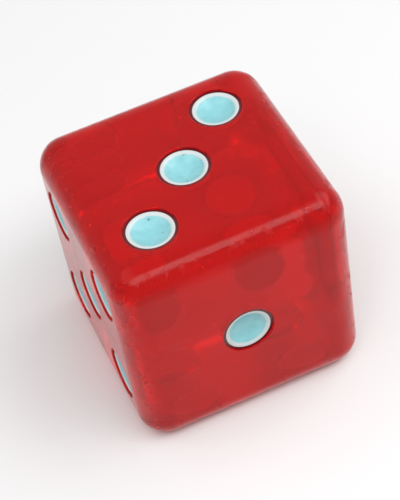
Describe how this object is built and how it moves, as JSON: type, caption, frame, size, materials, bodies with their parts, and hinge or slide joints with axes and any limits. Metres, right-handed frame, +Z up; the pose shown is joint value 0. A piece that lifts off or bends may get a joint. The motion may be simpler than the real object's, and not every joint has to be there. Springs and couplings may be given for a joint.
{
  "type": "casino die",
  "caption": "Transparent cube die with rounded edges and corners and round, dished, filled spots, for throwing on a gaming table.",
  "frame": {"origin": "centre of the face with four spots, which the die stands on", "axes": "+Z up through the face with three spots, -Y out of the face with one spot, +X out of the face with two spots"},
  "size_m": [0.019, 0.019, 0.019],
  "materials": {
    "body": "polished transparent red",
    "spot": "pale blue-green enamel, satin gloss"
  },
  "bodies": {
    "root": {"body": "body", "one_spot_1": "spot", "two_spot_1": "spot", "two_spot_2": "spot", "three_spot_1": "spot", "three_spot_2": "spot", "three_spot_3": "spot", "four_spot_1": "spot", "four_spot_2": "spot", "four_spot_3": "spot", "four_spot_4": "spot", "five_spot_1": "spot", "five_spot_2": "spot", "five_spot_3": "spot", "five_spot_4": "spot", "five_spot_5": "spot", "six_spot_1": "spot", "six_spot_2": "spot", "six_spot_3": "spot", "six_spot_4": "spot", "six_spot_5": "spot", "six_spot_6": "spot"}
  },
  "joints": []
}
